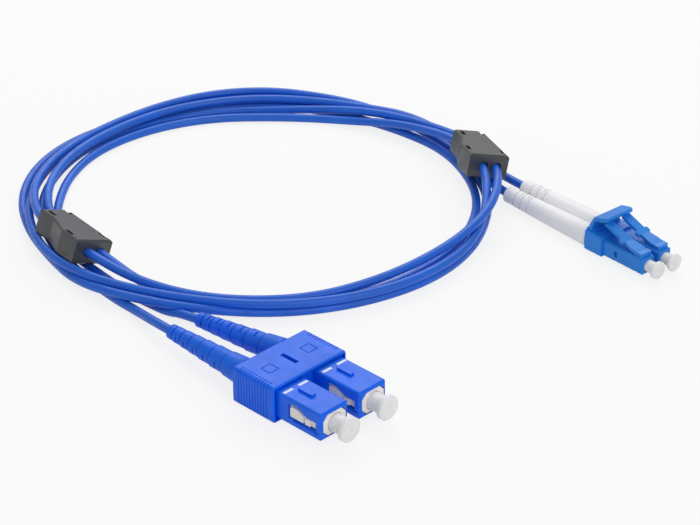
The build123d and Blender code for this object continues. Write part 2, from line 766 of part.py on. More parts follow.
def cable_tube(points):
    """Tube along straight runs joined by the largest tangent arcs that they allow."""
    points = [Vector(*point) for point in points]
    runs = [after - before for before, after in zip(points, points[1:])]
    radii = []
    for before, after in zip(runs, runs[1:]):
        half_turn = math.radians(before.get_angle(after)) / 2
        radii.append(0.45 * min(before.length, after.length) / math.tan(half_turn))
    path = FilletPolyline(*points, radius=radii)
    tube = sweep(Plane(origin=path @ 0, z_dir=path % 0) * Circle(CABLE_D / 2), path=path)
    share = tube.volume / (math.pi * CABLE_D**2 / 4 * path.length)
    print("tube radii", [round(radius, 1) for radius in radii], "volume share", round(share, 4))
    return tube


def tail_points(boot_place, boot_l, points):
    """Points of one tail: inside its boot, straight beyond the boot's tip, then to the coil."""
    start = boot_place * Pos(-boot_l + TAIL_INSIDE, 0, 0)
    lead = boot_place * Pos(-boot_l - TAIL_LEAD, 0, 0)
    return [start.position, lead.position, *points]


def square_pair():
    """Nodes of the square connector pair."""
    nodes = {"sc_duplex_holder": sc_holder()}
    spring = about(FRAME_SEAT - SC_FLANGE_L - SC_SPRING_L / 2, SC_SPRING_L)
    collar = FRAME_REAR - STOP_COLLAR_L
    stub_end = collar - STOP_STUB_L
    pieces = {
        "sc_sleeve": sc_sleeve(),
        "sc_plug_frame": sc_plug_frame(),
        "sc_ferrule": ferrule(SC_FERRULE_TIP, FRAME_SEAT - SC_FERRULE_SUNK, SC_FERRULE_D),
        "sc_flange": flange(
            FRAME_SEAT, SC_FLANGE_L, SC_FLANGE_D, SC_TAIL_L, SC_TAIL_D,
            SC_FERRULE_SUNK, SC_FERRULE_D, SC_FIBRE_D,
        ),
        "sc_spring": sleeve_tube(spring, SC_SPRING_OD, SC_SPRING_ID),
        "sc_stop_ring": sc_stop_ring(),
        "sc_crimp_sleeve": crimp_sleeve(
            collar, stub_end, stub_end - SC_CRIMP_GRIP_L, STOP_STUB_D, SC_CRIMP_WALL
        ),
        "sc_dust_cap": dust_cap(
            FRAME_FRONT, SC_CAP_STEM_IN, SC_CAP_STEM_OUT, SC_CAP_STEM_D, SC_CAP_DISC_T, SC_CAP_DISC_D,
            SC_FERRULE_TIP, SC_FERRULE_D + 2 * RUNNING,
        ),
    }
    for index, side in enumerate((-1, 1)):
        place = Pos(0, side * SC_PITCH / 2, SC_AXIS_Z)
        for name, piece in pieces.items():
            nodes[f"{name}_{index + 1}"] = place * piece
        nodes[f"sc_boot_{index + 1}"] = place * sc_boot(boot_lean(index), SC_BOOT_NICK_TURN[index])
    return nodes


def small_pair():
    """Nodes of the latched small connector pair."""
    nodes = {"lc_duplex_clip": lc_place() * lc_clip(), "lc_trigger": lc_place() * lc_trigger()}
    seat = -LC_FRONT_WALL
    spring = about(seat - LC_FLANGE_L - LC_SPRING_L / 2, LC_SPRING_L)
    stub_end = LC_CLIP_BACK - LC_STUB_L
    pieces = {
        "lc_housing": lc_housing(),
        "lc_latch": lc_latch(),
        "lc_ferrule": ferrule(LC_FERRULE_PROUD, seat - LC_FERRULE_SUNK, LC_FERRULE_D),
        "lc_flange": flange(
            seat, LC_FLANGE_L, LC_FLANGE_D, LC_TAIL_L, LC_TAIL_D, LC_FERRULE_SUNK, LC_FERRULE_D, LC_FIBRE_D
        ),
        "lc_spring": sleeve_tube(spring, LC_SPRING_OD, LC_SPRING_ID),
        "lc_backbone": lc_backbone(),
        "lc_crimp_sleeve": crimp_sleeve(
            LC_CLIP_BACK, stub_end, stub_end - LC_CRIMP_L + LOOSE, LC_STUB_D, LC_CRIMP_WALL
        ),
        "lc_boot": lc_boot(),
        "lc_dust_cap": dust_cap(
            0, LC_CAP_STEM_IN, LC_CAP_STEM_OUT, LC_CAP_STEM_D, LC_CAP_DISC_T, LC_CAP_DISC_D,
            LC_FERRULE_PROUD, LC_FERRULE_D + 2 * RUNNING,
        ),
    }
    for index, side in enumerate((1, -1)):
        for name, piece in pieces.items():
            nodes[f"{name}_{index + 1}"] = lc_place(side) * piece
    return nodes


def cable_set():
    """Nodes of the cables: coil, tails and snap clips."""
    nodes = {}
    for index, side in enumerate((-1, 1)):
        boot = Pos(0, side * SC_PITCH / 2, SC_AXIS_Z) * boot_lean(index)
        points = tail_points(boot, SC_BOOT_L, SC_TAIL_POINTS[index])
        nodes[f"sc_cable_tail_{index + 1}"] = cable_tube(points)
    for index, side in enumerate((1, -1)):
        boot = lc_place(side) * Pos(LC_CLIP_BACK, 0, 0)
        points = tail_points(boot, LC_BOOT_L, LC_TAIL_POINTS[index])
        nodes[f"lc_cable_tail_{index + 1}"] = cable_tube(points)
    nodes["cable_coil"] = coil(list(nodes.values()))
    base, cover = cable_clip()
    for side in CLIP_PLACES:
        nodes[f"{side}_clip_base"] = clip_place(side) * base
        nodes[f"{side}_clip_cover"] = clip_place(side) * cover
    return nodes


square = square_pair()
lengths = [piece.bounding_box() for piece in square.values()]
middle = (min(box.min.X for box in lengths) + max(box.max.X for box in lengths)) / 2
origin = Pos(-middle, 0, 0)
print("origin moved by", round(-middle, 4))

os.makedirs("parts", exist_ok=True)
for name, piece in {**square, **small_pair(), **cable_set()}.items():
    export_step(origin * piece, f"parts/{name}.step")

pivot_x, pivot_z = trigger_pivot()
for label, pivot in {
    "trigger pivot": lc_place() * Pos(pivot_x, 0, pivot_z),
    "latch pivot 1": lc_place(1) * Pos(-LATCH_PIVOT_BACK, 0, latch_pivot_z()),
    "latch pivot 2": lc_place(-1) * Pos(-LATCH_PIVOT_BACK, 0, latch_pivot_z()),
}.items():
    print(label, [round(value, 3) for value in (origin * pivot).position])
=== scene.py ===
"""Looks of a coiled duplex fibre patch lead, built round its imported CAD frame.

Two round cables run from a push-pull square plug pair, two and a half turns round a flat ring and
through two snap clips, to a latched small plug pair. Lengths named in millimetres are scaled by MM.
"""

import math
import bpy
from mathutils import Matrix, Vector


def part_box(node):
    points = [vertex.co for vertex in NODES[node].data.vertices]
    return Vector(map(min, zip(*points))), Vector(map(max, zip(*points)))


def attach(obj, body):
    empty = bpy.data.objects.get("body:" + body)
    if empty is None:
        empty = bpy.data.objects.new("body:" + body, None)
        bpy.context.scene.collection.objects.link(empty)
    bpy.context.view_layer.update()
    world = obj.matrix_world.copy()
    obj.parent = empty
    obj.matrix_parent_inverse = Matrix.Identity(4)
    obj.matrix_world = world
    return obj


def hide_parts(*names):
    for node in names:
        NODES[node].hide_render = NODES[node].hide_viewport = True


bl_info = {
    "name": "Duplex Fibre Patch Lead",
    "version": (1, 0, 0),
    "blender": (4, 5, 0),
    "location": "3D View > Sidebar > Patch Lead",
    "description": "Cables, moulded finishes and studio of a coiled duplex fibre patch lead",
    "category": "Object",
}

import bpy
import numpy as np
from mathutils import Vector

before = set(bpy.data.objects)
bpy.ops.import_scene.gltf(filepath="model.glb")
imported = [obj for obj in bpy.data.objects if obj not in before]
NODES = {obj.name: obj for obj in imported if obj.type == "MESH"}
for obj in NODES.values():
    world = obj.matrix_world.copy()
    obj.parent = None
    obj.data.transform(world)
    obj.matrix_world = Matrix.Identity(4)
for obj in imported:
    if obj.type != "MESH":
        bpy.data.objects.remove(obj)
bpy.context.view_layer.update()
MM = 0.001
PAIR = (1, 2)

# Lengths along the lead are measured from the square holder's rear face
HOLDER_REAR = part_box("sc_duplex_holder")[0][0]
HOLDER_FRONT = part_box("sc_duplex_holder")[1][0]

# Ring: centre, angle between control points, and how far a quadratic spline lies inside them
RING_CENTRE = (-67.35, 61.1)
RING_STEP = 15.0
SPLINE_SHARE = 0.75 + 0.25 * math.cos(math.radians(RING_STEP))
FLOOR_LAYER = 1.25

# Snap clips: bore pitch, half of the straight run through a bore, and how many degrees of the ring
# that run stands for each side of the clip
CLIP_PITCH = 3.9
CLIP_RUN = 13.0
CLIP_REACH = 18.0
CLIP_NODES = [f"{side}_clip_{half}" for side in ("left", "right") for half in ("base", "cover")]

# Each clip: (x, y, z) of its middle, then its (roll, pitch, turn) in degrees
RIGHT_CLIP = ((-34.31, 112.75, 8.07), (-12.6, -5.8, -28.0))
LEFT_CLIP = ((-80.86, 5.81, 6.14), (-20.6, 1.6, -5.8))

# Tails: points from inside each square plug's boot to the ring, and from the ring to each small plug
SQUARE_TAILS = (
    (
        (-24.11, -5.3, 4.06), (-35.1, -4.82, 3.67), (-45.65, -2.3, 1.6),
        (-56.0, -1.7, FLOOR_LAYER), (-69.5, 0.1, FLOOR_LAYER),
    ),
    (
        (-24.04, 4.41, 3.68), (-34.99, 3.53, 2.95), (-40.0, 3.2, 1.4),
        (-47.0, 2.8, FLOOR_LAYER), (-57.0, 2.3, FLOOR_LAYER),
    ),
)
SMALL_TAILS = (
    ((-35.0, 119.2, FLOOR_LAYER), (-23.64, 114.93, 3.05), (-12.68, 114.01, 3.05)),
    ((-33.3, 115.3, FLOOR_LAYER), (-24.16, 108.71, 3.05), (-13.2, 107.79, 3.05)),
)

# Lay of each cable round the ring: (angle, radius, height of its middle), clockwise from above;
# the left clip holds the first cable on its first turn and the second on its second
LEFT_TURNS = (0, 1)
LAYS = (
    (
        (255, 59.8, FLOOR_LAYER), (225, 59.4, FLOOR_LAYER), (195, 58.8, FLOOR_LAYER),
        (165, 56.4, FLOOR_LAYER), (135, 54.6, 1.4), (120, 54.4, 2.6), (105, 55.6, 4.4), (90, 58.2, 5.2),
        (30, 64.3, 8.0), (15, 61.4, 6.3), (0, 59.2, 5.2), (-15, 58.6, 4.4), (-30, 58.9, 3.8),
        (-45, 58.9, 3.9), (-60, 59.2, 4.4), (-75, 59.0, 5.4), (-135, 61.8, 4.5), (-150, 61.2, 4.2),
        (-165, 60.0, 4.0), (-180, 59.4, 4.0), (-195, 60.6, 4.0), (-210, 62.4, 4.0), (-225, 62.9, 3.9),
        (-240, 60.9, 3.9), (-255, 60.7, 3.3), (-270, 61.2, 1.5), (-285, 61.3, FLOOR_LAYER),
        (-300, 60.9, FLOOR_LAYER), (-315, 62.2, FLOOR_LAYER), (-330, 62.3, FLOOR_LAYER),
        (-345, 63.0, FLOOR_LAYER), (-360, 62.8, FLOOR_LAYER), (-375, 61.9, FLOOR_LAYER),
        (-390, 61.2, FLOOR_LAYER), (-405, 61.2, 1.7), (-420, 64.2, 3.9), (-435, 64.9, 3.9),
        (-450, 64.7, 2.2), (-465, 62.5, FLOOR_LAYER), (-480, 63.4, FLOOR_LAYER),
        (-495, 65.1, FLOOR_LAYER), (-510, 65.9, FLOOR_LAYER), (-525, 65.3, FLOOR_LAYER),
        (-540, 63.0, FLOOR_LAYER), (-555, 61.6, FLOOR_LAYER), (-585, 60.4, FLOOR_LAYER),
        (-600, 61.2, FLOOR_LAYER), (-615, 62.8, FLOOR_LAYER), (-630, 64.8, FLOOR_LAYER),
        (-645, 66.2, FLOOR_LAYER),
    ),
    (
        (255, 57.2, FLOOR_LAYER), (225, 54.7, FLOOR_LAYER), (195, 55.0, FLOOR_LAYER),
        (180, 54.0, FLOOR_LAYER), (165, 52.8, FLOOR_LAYER), (135, 50.2, FLOOR_LAYER),
        (120, 51.2, FLOOR_LAYER), (105, 53.3, 1.8), (90, 55.6, 4.4), (30, 62.5, 5.6), (15, 63.6, 4.0),
        (0, 63.3, 3.7), (-15, 62.6, 3.7), (-30, 61.5, 3.7), (-45, 61.3, 4.2), (-60, 61.7, 4.9),
        (-75, 62.2, 4.7), (-90, 63.7, 4.2), (-105, 64.1, 3.7), (-120, 63.0, 3.3), (-135, 62.7, 1.6),
        (-150, 62.8, FLOOR_LAYER), (-165, 62.4, FLOOR_LAYER), (-180, 60.4, FLOOR_LAYER),
        (-195, 59.0, FLOOR_LAYER), (-225, 57.8, FLOOR_LAYER), (-255, 56.4, FLOOR_LAYER),
        (-270, 56.8, FLOOR_LAYER), (-285, 58.5, FLOOR_LAYER), (-300, 58.6, FLOOR_LAYER),
        (-315, 59.2, FLOOR_LAYER), (-330, 59.0, FLOOR_LAYER), (-360, 58.3, FLOOR_LAYER),
        (-390, 58.3, FLOOR_LAYER), (-405, 58.4, 1.3), (-420, 57.9, 2.0), (-435, 57.2, 3.6),
        (-495, 57.8, 4.4), (-510, 57.6, 4.2), (-525, 57.0, 4.0), (-540, 56.5, 3.9), (-555, 57.2, 3.8),
        (-585, 57.8, 3.8), (-600, 57.8, 3.8), (-615, 58.2, 4.2), (-630, 61.2, 4.7), (-645, 64.3, 1.6),
    ),
)

# Painted stripes on top of each grip sleeve, just ahead of the holder
STRIPE_AHEAD = 1.65
STRIPE_OFFSET = 2.4
SQUARE_PITCH = 12.7
SLEEVE_TOP = 8.6
PAINT_REACH = 0.03

# Fine structure that every finish shares, and the middle range of a noise
CLOUD_SIZE = 9.0
GLOSS_SIZE = 3.0
GLOSS_SPREAD = 0.06
NOISE_MIDDLE = (0.3, 0.7)
BEVEL_SAMPLES = 6

# Steps of each cable between two control points
CABLE_STEPS = 10

# Studio, in metres: half of the floor's side, its share seen as white, then each lamp's place and size
FLOOR_HALF = 4.0
WHITE_SHARE = 0.82
BACK_LAMP = ((-0.42, 0.46, 0.57), 0.7)
FRONT_LAMP = ((0.65, -0.15, 0.45), 0.6)
SENSOR_WIDTH = 36.0


def linear(red, green, blue):
    """Linear light of a display colour given in steps of 0 to 255."""
    display = np.array((red, green, blue)) / 255
    light = np.where(display <= 0.04045, display / 12.92, ((display + 0.055) / 1.055) ** 2.4)
    return tuple(float(value) for value in light)


def length_property(name, description, default):
    return bpy.props.FloatProperty(
        name=name, description=description, default=default, min=0.0, unit="LENGTH", precision=5
    )


def colour_property(name, description, default):
    return bpy.props.FloatVectorProperty(
        name=name, description=description, default=default, size=3, min=0.0, max=1.0, subtype="COLOR"
    )


class PatchLeadSizes(bpy.types.PropertyGroup):
    jacket_diameter: length_property("Jacket diameter", "Outside diameter of each round cable", 2.4 * MM)
    edge_rounding: length_property("Edge rounding", "Radius that moulded edges are shaded with", 0.16 * MM)
    stripe_length: length_property("Stripe length", "Painted stripe along the plug", 0.8 * MM)
    stripe_width: length_property("Stripe width", "Painted stripe across the plug", 2.9 * MM)
    jacket_sides: bpy.props.IntProperty(
        name="Jacket roundness", description="Bevel steps of each cable", default=6, min=2, max=16
    )


class PatchLeadColours(bpy.types.PropertyGroup):
    jacket: colour_property("Jacket", "Both cables", linear(20, 100, 214))
    square_shell: colour_property("Square shell", "Holder and grip sleeves", linear(6, 104, 246))
    square_boot: colour_property("Square boots", "Boots of the square plugs", linear(14, 104, 236))
    small_shell: colour_property(
        "Small shell", "Housings, latches and clip of the small plugs", linear(32, 132, 228)
    )
    small_boot: colour_property("Small boots", "Boots of the small plugs", linear(247, 247, 248))
    snap_clip: colour_property("Snap clips", "Clips on the cable pair", linear(50, 52, 55))
    plug_frame: colour_property("Plug frames", "Inner frames of the square plugs", linear(250, 246, 240))
    ceramic: colour_property("Ferrules", "Polished ceramic", linear(244, 243, 240))
    plating: colour_property("Plating", "Flanges, stop rings and crimps", linear(196, 192, 184))
    spring_steel: colour_property("Springs", "Ferrule springs", linear(150, 150, 152))
    cap: colour_property("Dust caps", "Translucent caps", linear(250, 250, 251))
    stripe: colour_property("Stripes", "Paint on the grip sleeves", linear(226, 234, 250))


class PatchLeadStudio(bpy.types.PropertyGroup):
    camera_azimuth: bpy.props.FloatProperty(
        name="Azimuth",
        description="Camera's turn round the object",
        default=math.radians(44.471),
        subtype="ANGLE",
    )
    camera_elevation: bpy.props.FloatProperty(
        name="Elevation",
        description="Camera above the floor",
        default=math.radians(29.759),
        subtype="ANGLE",
    )
    camera_distance: length_property("Distance", "Camera to its target", 600 * MM)
    camera_target: bpy.props.FloatVectorProperty(
        name="Target",
        description="Point that the camera looks at",
        default=(HOLDER_REAR - 26.12 * MM, 54.17 * MM, 0.45 * MM),
        subtype="TRANSLATION",
    )
    camera_lens: bpy.props.FloatProperty(
        name="Lens", description="Focal length in millimetres", default=118.01, min=10.0
    )
    sky: bpy.props.FloatProperty(name="Sky", description="Even light from all round", default=0.45, min=0.0)
    back_power: bpy.props.FloatProperty(
        name="Back light",
        description="Large soft lamp behind and above",
        default=3.5,
        min=0.0,
        unit="POWER",
    )
    front_power: bpy.props.FloatProperty(
        name="Front light",
        description="Soft lamp towards the plugs' mouths",
        default=2.0,
        min=0.0,
        unit="POWER",
    )
    floor: colour_property("Floor", "Plain pale floor", (0.86, 0.86, 0.86))


def placed(points):
    """Points measured in millimetres from the holder's rear face, in the frame and in metres."""
    return np.array(points) * MM + (HOLDER_REAR, 0.0, 0.0)


def turn_matrix(roll, pitch, turn):
    """Turn about X, then Y, then Z, in degrees."""
    angles = np.radians((roll, pitch, turn))
    cx, cy, cz = np.cos(angles)
    sx, sy, sz = np.sin(angles)
    about_x = np.array(((1, 0, 0), (0, cx, -sx), (0, sx, cx)))
    about_y = np.array(((cy, 0, sy), (0, 1, 0), (-sy, 0, cy)))
    about_z = np.array(((cz, -sz, 0), (sz, cz, 0), (0, 0, 1)))
    return about_z @ about_y @ about_x


def clip_run(clip, side, way):
    """Three points in line through one bore of a snap clip: side picks the bore, way the direction."""
    middle, turns = clip
    along = np.array((-CLIP_RUN, 0.0, CLIP_RUN)) * way
    local = np.stack((along, np.full(3, side * CLIP_PITCH / 2), np.zeros(3)), axis=1)
    return np.array(middle) + local @ turn_matrix(*turns).T


def clip_angle(clip, turns):
    """Angle of a snap clip on the ring, after a number of whole turns clockwise."""
    x, y, _ = clip[0]
    return math.degrees(math.atan2(y - RING_CENTRE[1], x - RING_CENTRE[0])) - 360 * turns


def ring_points(lay, runs):
    """Control points every RING_STEP degrees, with radius and height blended along the lay.

    Each of runs, (angle, points), takes the place of the control points beside its clip.
    """
    angles, radii, heights = np.array(lay).T
    steps = np.arange(angles[0], angles[-1] - RING_STEP / 2, -RING_STEP)
    radius = np.interp(-steps, -angles, radii) / SPLINE_SHARE
    turn = np.radians(steps)
    x = RING_CENTRE[0] + radius * np.cos(turn)
    y = RING_CENTRE[1] + radius * np.sin(turn)
    points = np.stack((x, y, np.interp(-steps, -angles, heights)), axis=1)
    for angle, run in runs:
        before = steps > angle + CLIP_REACH
        after = steps < angle - CLIP_REACH
        points = np.concatenate((points[before], run, points[after]))
        steps = np.concatenate((steps[before], np.full(len(run), angle), steps[after]))
    return points


def cable_route(index):
    """Square plug's tail, the turns of the ring, then the small plug's tail, in metres."""
    side = 1 if index == 0 else -1
    runs = (
        (clip_angle(RIGHT_CLIP, 0), clip_run(RIGHT_CLIP, side, 1)),
        (clip_angle(LEFT_CLIP, LEFT_TURNS[index]), clip_run(LEFT_CLIP, -side, -1)),
    )
    ring = ring_points(LAYS[index], runs)
    return placed(np.concatenate((SQUARE_TAILS[index], ring, SMALL_TAILS[index])))


def cable_curve(name, points, sizes):
    """Round cable on one smooth spline that has the route's points as its control points."""
    curve = bpy.data.curves.new(name, "CURVE")
    curve.dimensions = "3D"
    curve.bevel_depth = sizes.jacket_diameter / 2
    curve.bevel_resolution = sizes.jacket_sides
    curve.use_fill_caps = True
    curve.resolution_u = CABLE_STEPS
    spline = curve.splines.new("NURBS")
    spline.points.add(len(points) - 1)
    weighted = np.concatenate((points, np.ones((len(points), 1))), axis=1)
    spline.points.foreach_set("co", weighted.astype(np.float32).ravel())
    spline.order_u = 3
    spline.use_endpoint_u = True
    spline.use_smooth = True
    piece = bpy.data.objects.new(name, curve)
    bpy.context.scene.collection.objects.link(piece)
    return piece


class Finish:
    """One procedural material: its shader, and short calls that add and join nodes."""

    def __init__(self, name):
        self.material = bpy.data.materials.new(name)
        self.material.use_nodes = True
        self.tree = self.material.node_tree
        self.shader = self.tree.nodes["Principled BSDF"]
        self.place = self.node("ShaderNodeTexCoord").outputs["Object"]

    def node(self, kind, **settings):
        made = self.tree.nodes.new(kind)
        for key, value in settings.items():
            setattr(made, key, value)
        return made

    def join(self, source, target):
        self.tree.links.new(source, target)

    def math(self, operation, first, second=0.0, third=0.0):
        """One Math node; each value is a number or another node's output."""
        made = self.node("ShaderNodeMath", operation=operation)
        for socket, value in zip(made.inputs, (first, second, third)):
            if isinstance(value, bpy.types.NodeSocket):
                self.join(value, socket)
            else:
                socket.default_value = value
        return made.outputs[0]

    def noise(self, size, detail=2.0, roughness=0.5):
        """Noise whose grains are about size metres across."""
        made = self.node("ShaderNodeTexNoise")
        made.inputs["Scale"].default_value = 1 / size
        made.inputs["Detail"].default_value = detail
        made.inputs["Roughness"].default_value = roughness
        self.join(self.place, made.inputs["Vector"])
        return made.outputs["Fac"]

    def blend(self, share, first, second):
        """Colour between first and second; each is a colour or another node's output."""
        made = self.node("ShaderNodeMix", data_type="RGBA")
        for name, value in (("A_Color", first), ("B_Color", second)):
            socket = next(s for s in made.inputs if s.identifier == name)
            if isinstance(value, bpy.types.NodeSocket):
                self.join(value, socket)
            else:
                socket.default_value = (*value, 1.0)
        self.join(share, made.inputs["Factor"])
        return next(s for s in made.outputs if s.identifier == "Result_Color")

    def spread(self, value, low, high):
        """Stretches a noise's middle range to low and high."""
        made = self.node("ShaderNodeMapRange")
        made.inputs["From Min"].default_value = NOISE_MIDDLE[0]
        made.inputs["From Max"].default_value = NOISE_MIDDLE[1]
        made.inputs["To Min"].default_value = low
        made.inputs["To Max"].default_value = high
        self.join(value, made.inputs["Value"])
        return made.outputs["Result"]

    def relief(self, height, depth, edge=0.0):
        """Bump of depth metres, over edges rounded by edge metres."""
        bump = self.node("ShaderNodeBump")
        bump.inputs["Distance"].default_value = depth
        bump.inputs["Strength"].default_value = 1.0
        self.join(height, bump.inputs["Height"])
        if edge:
            rounding = self.node("ShaderNodeBevel", samples=BEVEL_SAMPLES)
            rounding.inputs["Radius"].default_value = edge
            self.join(rounding.outputs["Normal"], bump.inputs["Normal"])
        self.join(bump.outputs["Normal"], self.shader.inputs["Normal"])


def shade(colour, share):
    """Colour scaled in value."""
    return tuple(min(1.0, channel * share) for channel in colour)


def moulded(name, colour, roughness, grain, depth, edge, tone=0.1, specular=0.3):
    """Moulded plastic or rubber: cloudy tone, uneven gloss, fine spark-eroded grain, soft edges."""
    finish = Finish(name)
    finish.shader.inputs["Specular IOR Level"].default_value = specular
    clouds = finish.noise(CLOUD_SIZE * MM, detail=4.0)
    cloudy = finish.spread(clouds, 0.0, 1.0)
    base = finish.blend(cloudy, shade(colour, 1 - tone), shade(colour, 1 + tone))
    finish.join(base, finish.shader.inputs["Base Color"])
    gloss = finish.noise(GLOSS_SIZE * MM, detail=3.0)
    uneven = finish.spread(gloss, roughness - GLOSS_SPREAD, roughness + GLOSS_SPREAD)
    finish.join(uneven, finish.shader.inputs["Roughness"])
    finish.relief(finish.noise(grain, detail=1.0), depth, edge)
    return finish


def striped_shell(name, colour, stripe, sizes):
    """Grip sleeve's moulded plastic, with two painted stripes across its top."""
    finish = moulded(
        name, colour, roughness=0.38, grain=0.22 * MM, depth=0.008 * MM, edge=sizes.edge_rounding
    )
    axes = finish.node("ShaderNodeSeparateXYZ")
    finish.join(finish.place, axes.inputs[0])
    x, y, z = axes.outputs
    from_plug = finish.math("SUBTRACT", finish.math("ABSOLUTE", y), SQUARE_PITCH / 2 * MM)
    off_middle = finish.math("ABSOLUTE", from_plug)
    across = finish.math("COMPARE", off_middle, STRIPE_OFFSET * MM, sizes.stripe_width / 2)
    along = finish.math("COMPARE", x, HOLDER_FRONT + STRIPE_AHEAD * MM, sizes.stripe_length / 2)
    on_top = finish.math("GREATER_THAN", z, (SLEEVE_TOP - PAINT_REACH) * MM)
    mask = finish.math("MULTIPLY", finish.math("MULTIPLY", across, along), on_top)
    base = finish.shader.inputs["Base Color"]
    painted = finish.blend(mask, base.links[0].from_socket, stripe)
    finish.join(painted, base)
    return finish


def jacket(name, colour):
    """Extruded cable jacket: faint mottling, satin gloss and a very fine skin."""
    return moulded(
        name, colour, roughness=0.42, grain=0.5 * MM, depth=0.006 * MM, edge=0.0, tone=0.08, specular=0.45
    )


def clear_cap(name, colour):
    """Translucent soft cap: light passes and scatters, with a moulded shine."""
    finish = moulded(
        name, colour, roughness=0.3, grain=0.4 * MM, depth=0.004 * MM, edge=0.1 * MM, tone=0.02
    )
    finish.shader.inputs["Transmission Weight"].default_value = 0.1
    finish.shader.inputs["IOR"].default_value = 1.46
    finish.shader.inputs["Subsurface Weight"].default_value = 0.4
    finish.shader.inputs["Subsurface Radius"].default_value = (1.0, 1.0, 1.0)
    finish.shader.inputs["Subsurface Scale"].default_value = 1.2 * MM
    return finish


def metal(name, colour, roughness):
    """Turned and plated metal with fine uneven gloss."""
    finish = moulded(
        name, colour, roughness=roughness, grain=0.15 * MM, depth=0.003 * MM, edge=0.05 * MM, tone=0.05
    )
    finish.shader.inputs["Metallic"].default_value = 1.0
    return finish


def dress(names, finish):
    """Gives CAD nodes a finish in place of their plain material."""
    for name in names:
        node = NODES[name]
        node.data.materials.clear()
        node.data.materials.append(finish.material)


def pair(*stems):
    """Names of the two nodes of each stem."""
    return [f"{stem}_{number}" for stem in stems for number in PAIR]


class PATCHLEAD_OT_cables(bpy.types.Operator):
    """Lay both cables from plug to plug, round the ring and through the snap clips"""

    bl_idname = "patch_lead.cables"
    bl_label = "Cables"

    def execute(self, context):
        sizes = context.scene.patch_lead_sizes
        colours = context.scene.patch_lead_colours
        finish = jacket("cable_jacket", colours.jacket)
        for index, number in enumerate(PAIR):
            points = cable_route(index)
            piece = cable_curve(f"cable_{number}", points, sizes)
            piece.data.materials.append(finish.material)
            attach(piece, "lead")
            stood_for = [f"sc_cable_tail_{number}", f"lc_cable_tail_{number}"]
            on_cable = [f"lc_housing_{number}", f"lc_boot_{number}"]
            if index == 0:
                stood_for.append("cable_coil")
                on_cable += [*CLIP_NODES, "lc_duplex_clip"]
            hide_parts(*stood_for)
        return {"FINISHED"}


class PATCHLEAD_OT_square_pair(bpy.types.Operator):
    """Finish the push-pull square plug pair"""

    bl_idname = "patch_lead.square_pair"
    bl_label = "Square plug pair"

    def execute(self, context):
        sizes = context.scene.patch_lead_sizes
        colours = context.scene.patch_lead_colours
        edge = sizes.edge_rounding
        shell = moulded(
            "square_shell",
            colours.square_shell,
            roughness=0.4,
            grain=0.22 * MM,
            depth=0.008 * MM,
            edge=edge,
        )
        dress(["sc_duplex_holder"], shell)
        sleeve = striped_shell("square_sleeve", colours.square_shell, colours.stripe, sizes)
        dress(pair("sc_sleeve"), sleeve)
        boot = moulded(
            "square_boot",
            colours.square_boot,
            roughness=0.46,
            grain=0.3 * MM,
            depth=0.01 * MM,
            edge=edge,
        )
        dress(pair("sc_boot"), boot)
        inner = moulded(
            "plug_frame",
            colours.plug_frame,
            roughness=0.42,
            grain=0.25 * MM,
            depth=0.006 * MM,
            edge=edge,
            tone=0.04,
        )
        dress(pair("sc_plug_frame"), inner)
        return {"FINISHED"}


class PATCHLEAD_OT_small_pair(bpy.types.Operator):
    """Finish the latched small plug pair"""

    bl_idname = "patch_lead.small_pair"
    bl_label = "Small plug pair"

    def execute(self, context):
        colours = context.scene.patch_lead_colours
        edge = context.scene.patch_lead_sizes.edge_rounding
        shell = moulded(
            "small_shell",
            colours.small_shell,
            roughness=0.36,
            grain=0.2 * MM,
            depth=0.007 * MM,
            edge=edge,
        )
        dress(["lc_duplex_clip", "lc_trigger"], shell)
        dress(pair("lc_housing", "lc_latch", "lc_backbone"), shell)
        boot = moulded(
            "small_boot",
            colours.small_boot,
            roughness=0.44,
            grain=0.3 * MM,
            depth=0.008 * MM,
            edge=edge,
            tone=0.03,
        )
        dress(pair("lc_boot"), boot)
        return {"FINISHED"}


class PATCHLEAD_OT_inner_pieces(bpy.types.Operator):
    """Finish the ferrules, flanges, springs, crimps and dust caps of both pairs"""

    bl_idname = "patch_lead.inner_pieces"
    bl_label = "Ferrules, metal and caps"

    def execute(self, context):
        colours = context.scene.patch_lead_colours
        ceramic = moulded(
            "ferrule_ceramic",
            colours.ceramic,
            roughness=0.16,
            grain=0.1 * MM,
            depth=0.001 * MM,
            edge=0.05 * MM,
            tone=0.02,
        )
        dress(pair("sc_ferrule", "lc_ferrule"), ceramic)
        plating = metal("nickel_plating", colours.plating, 0.3)
        dress(pair("sc_flange", "lc_flange", "sc_stop_ring"), plating)
        dress(pair("sc_crimp_sleeve", "lc_crimp_sleeve"), plating)
        steel = metal("spring_steel", colours.spring_steel, 0.35)
        dress(pair("sc_spring", "lc_spring"), steel)
        clear = clear_cap("clear_cap", colours.cap)
        dress(pair("sc_dust_cap", "lc_dust_cap"), clear)
        return {"FINISHED"}


class PATCHLEAD_OT_snap_clips(bpy.types.Operator):
    """Finish the two snap clips on the cable pair"""

    bl_idname = "patch_lead.snap_clips"
    bl_label = "Snap clips"

    def execute(self, context):
        colours = context.scene.patch_lead_colours
        edge = context.scene.patch_lead_sizes.edge_rounding
        grey = moulded(
            "snap_clip",
            colours.snap_clip,
            roughness=0.42,
            grain=0.3 * MM,
            depth=0.014 * MM,
            edge=edge,
            specular=0.9,
        )
        dress(CLIP_NODES, grey)
        return {"FINISHED"}


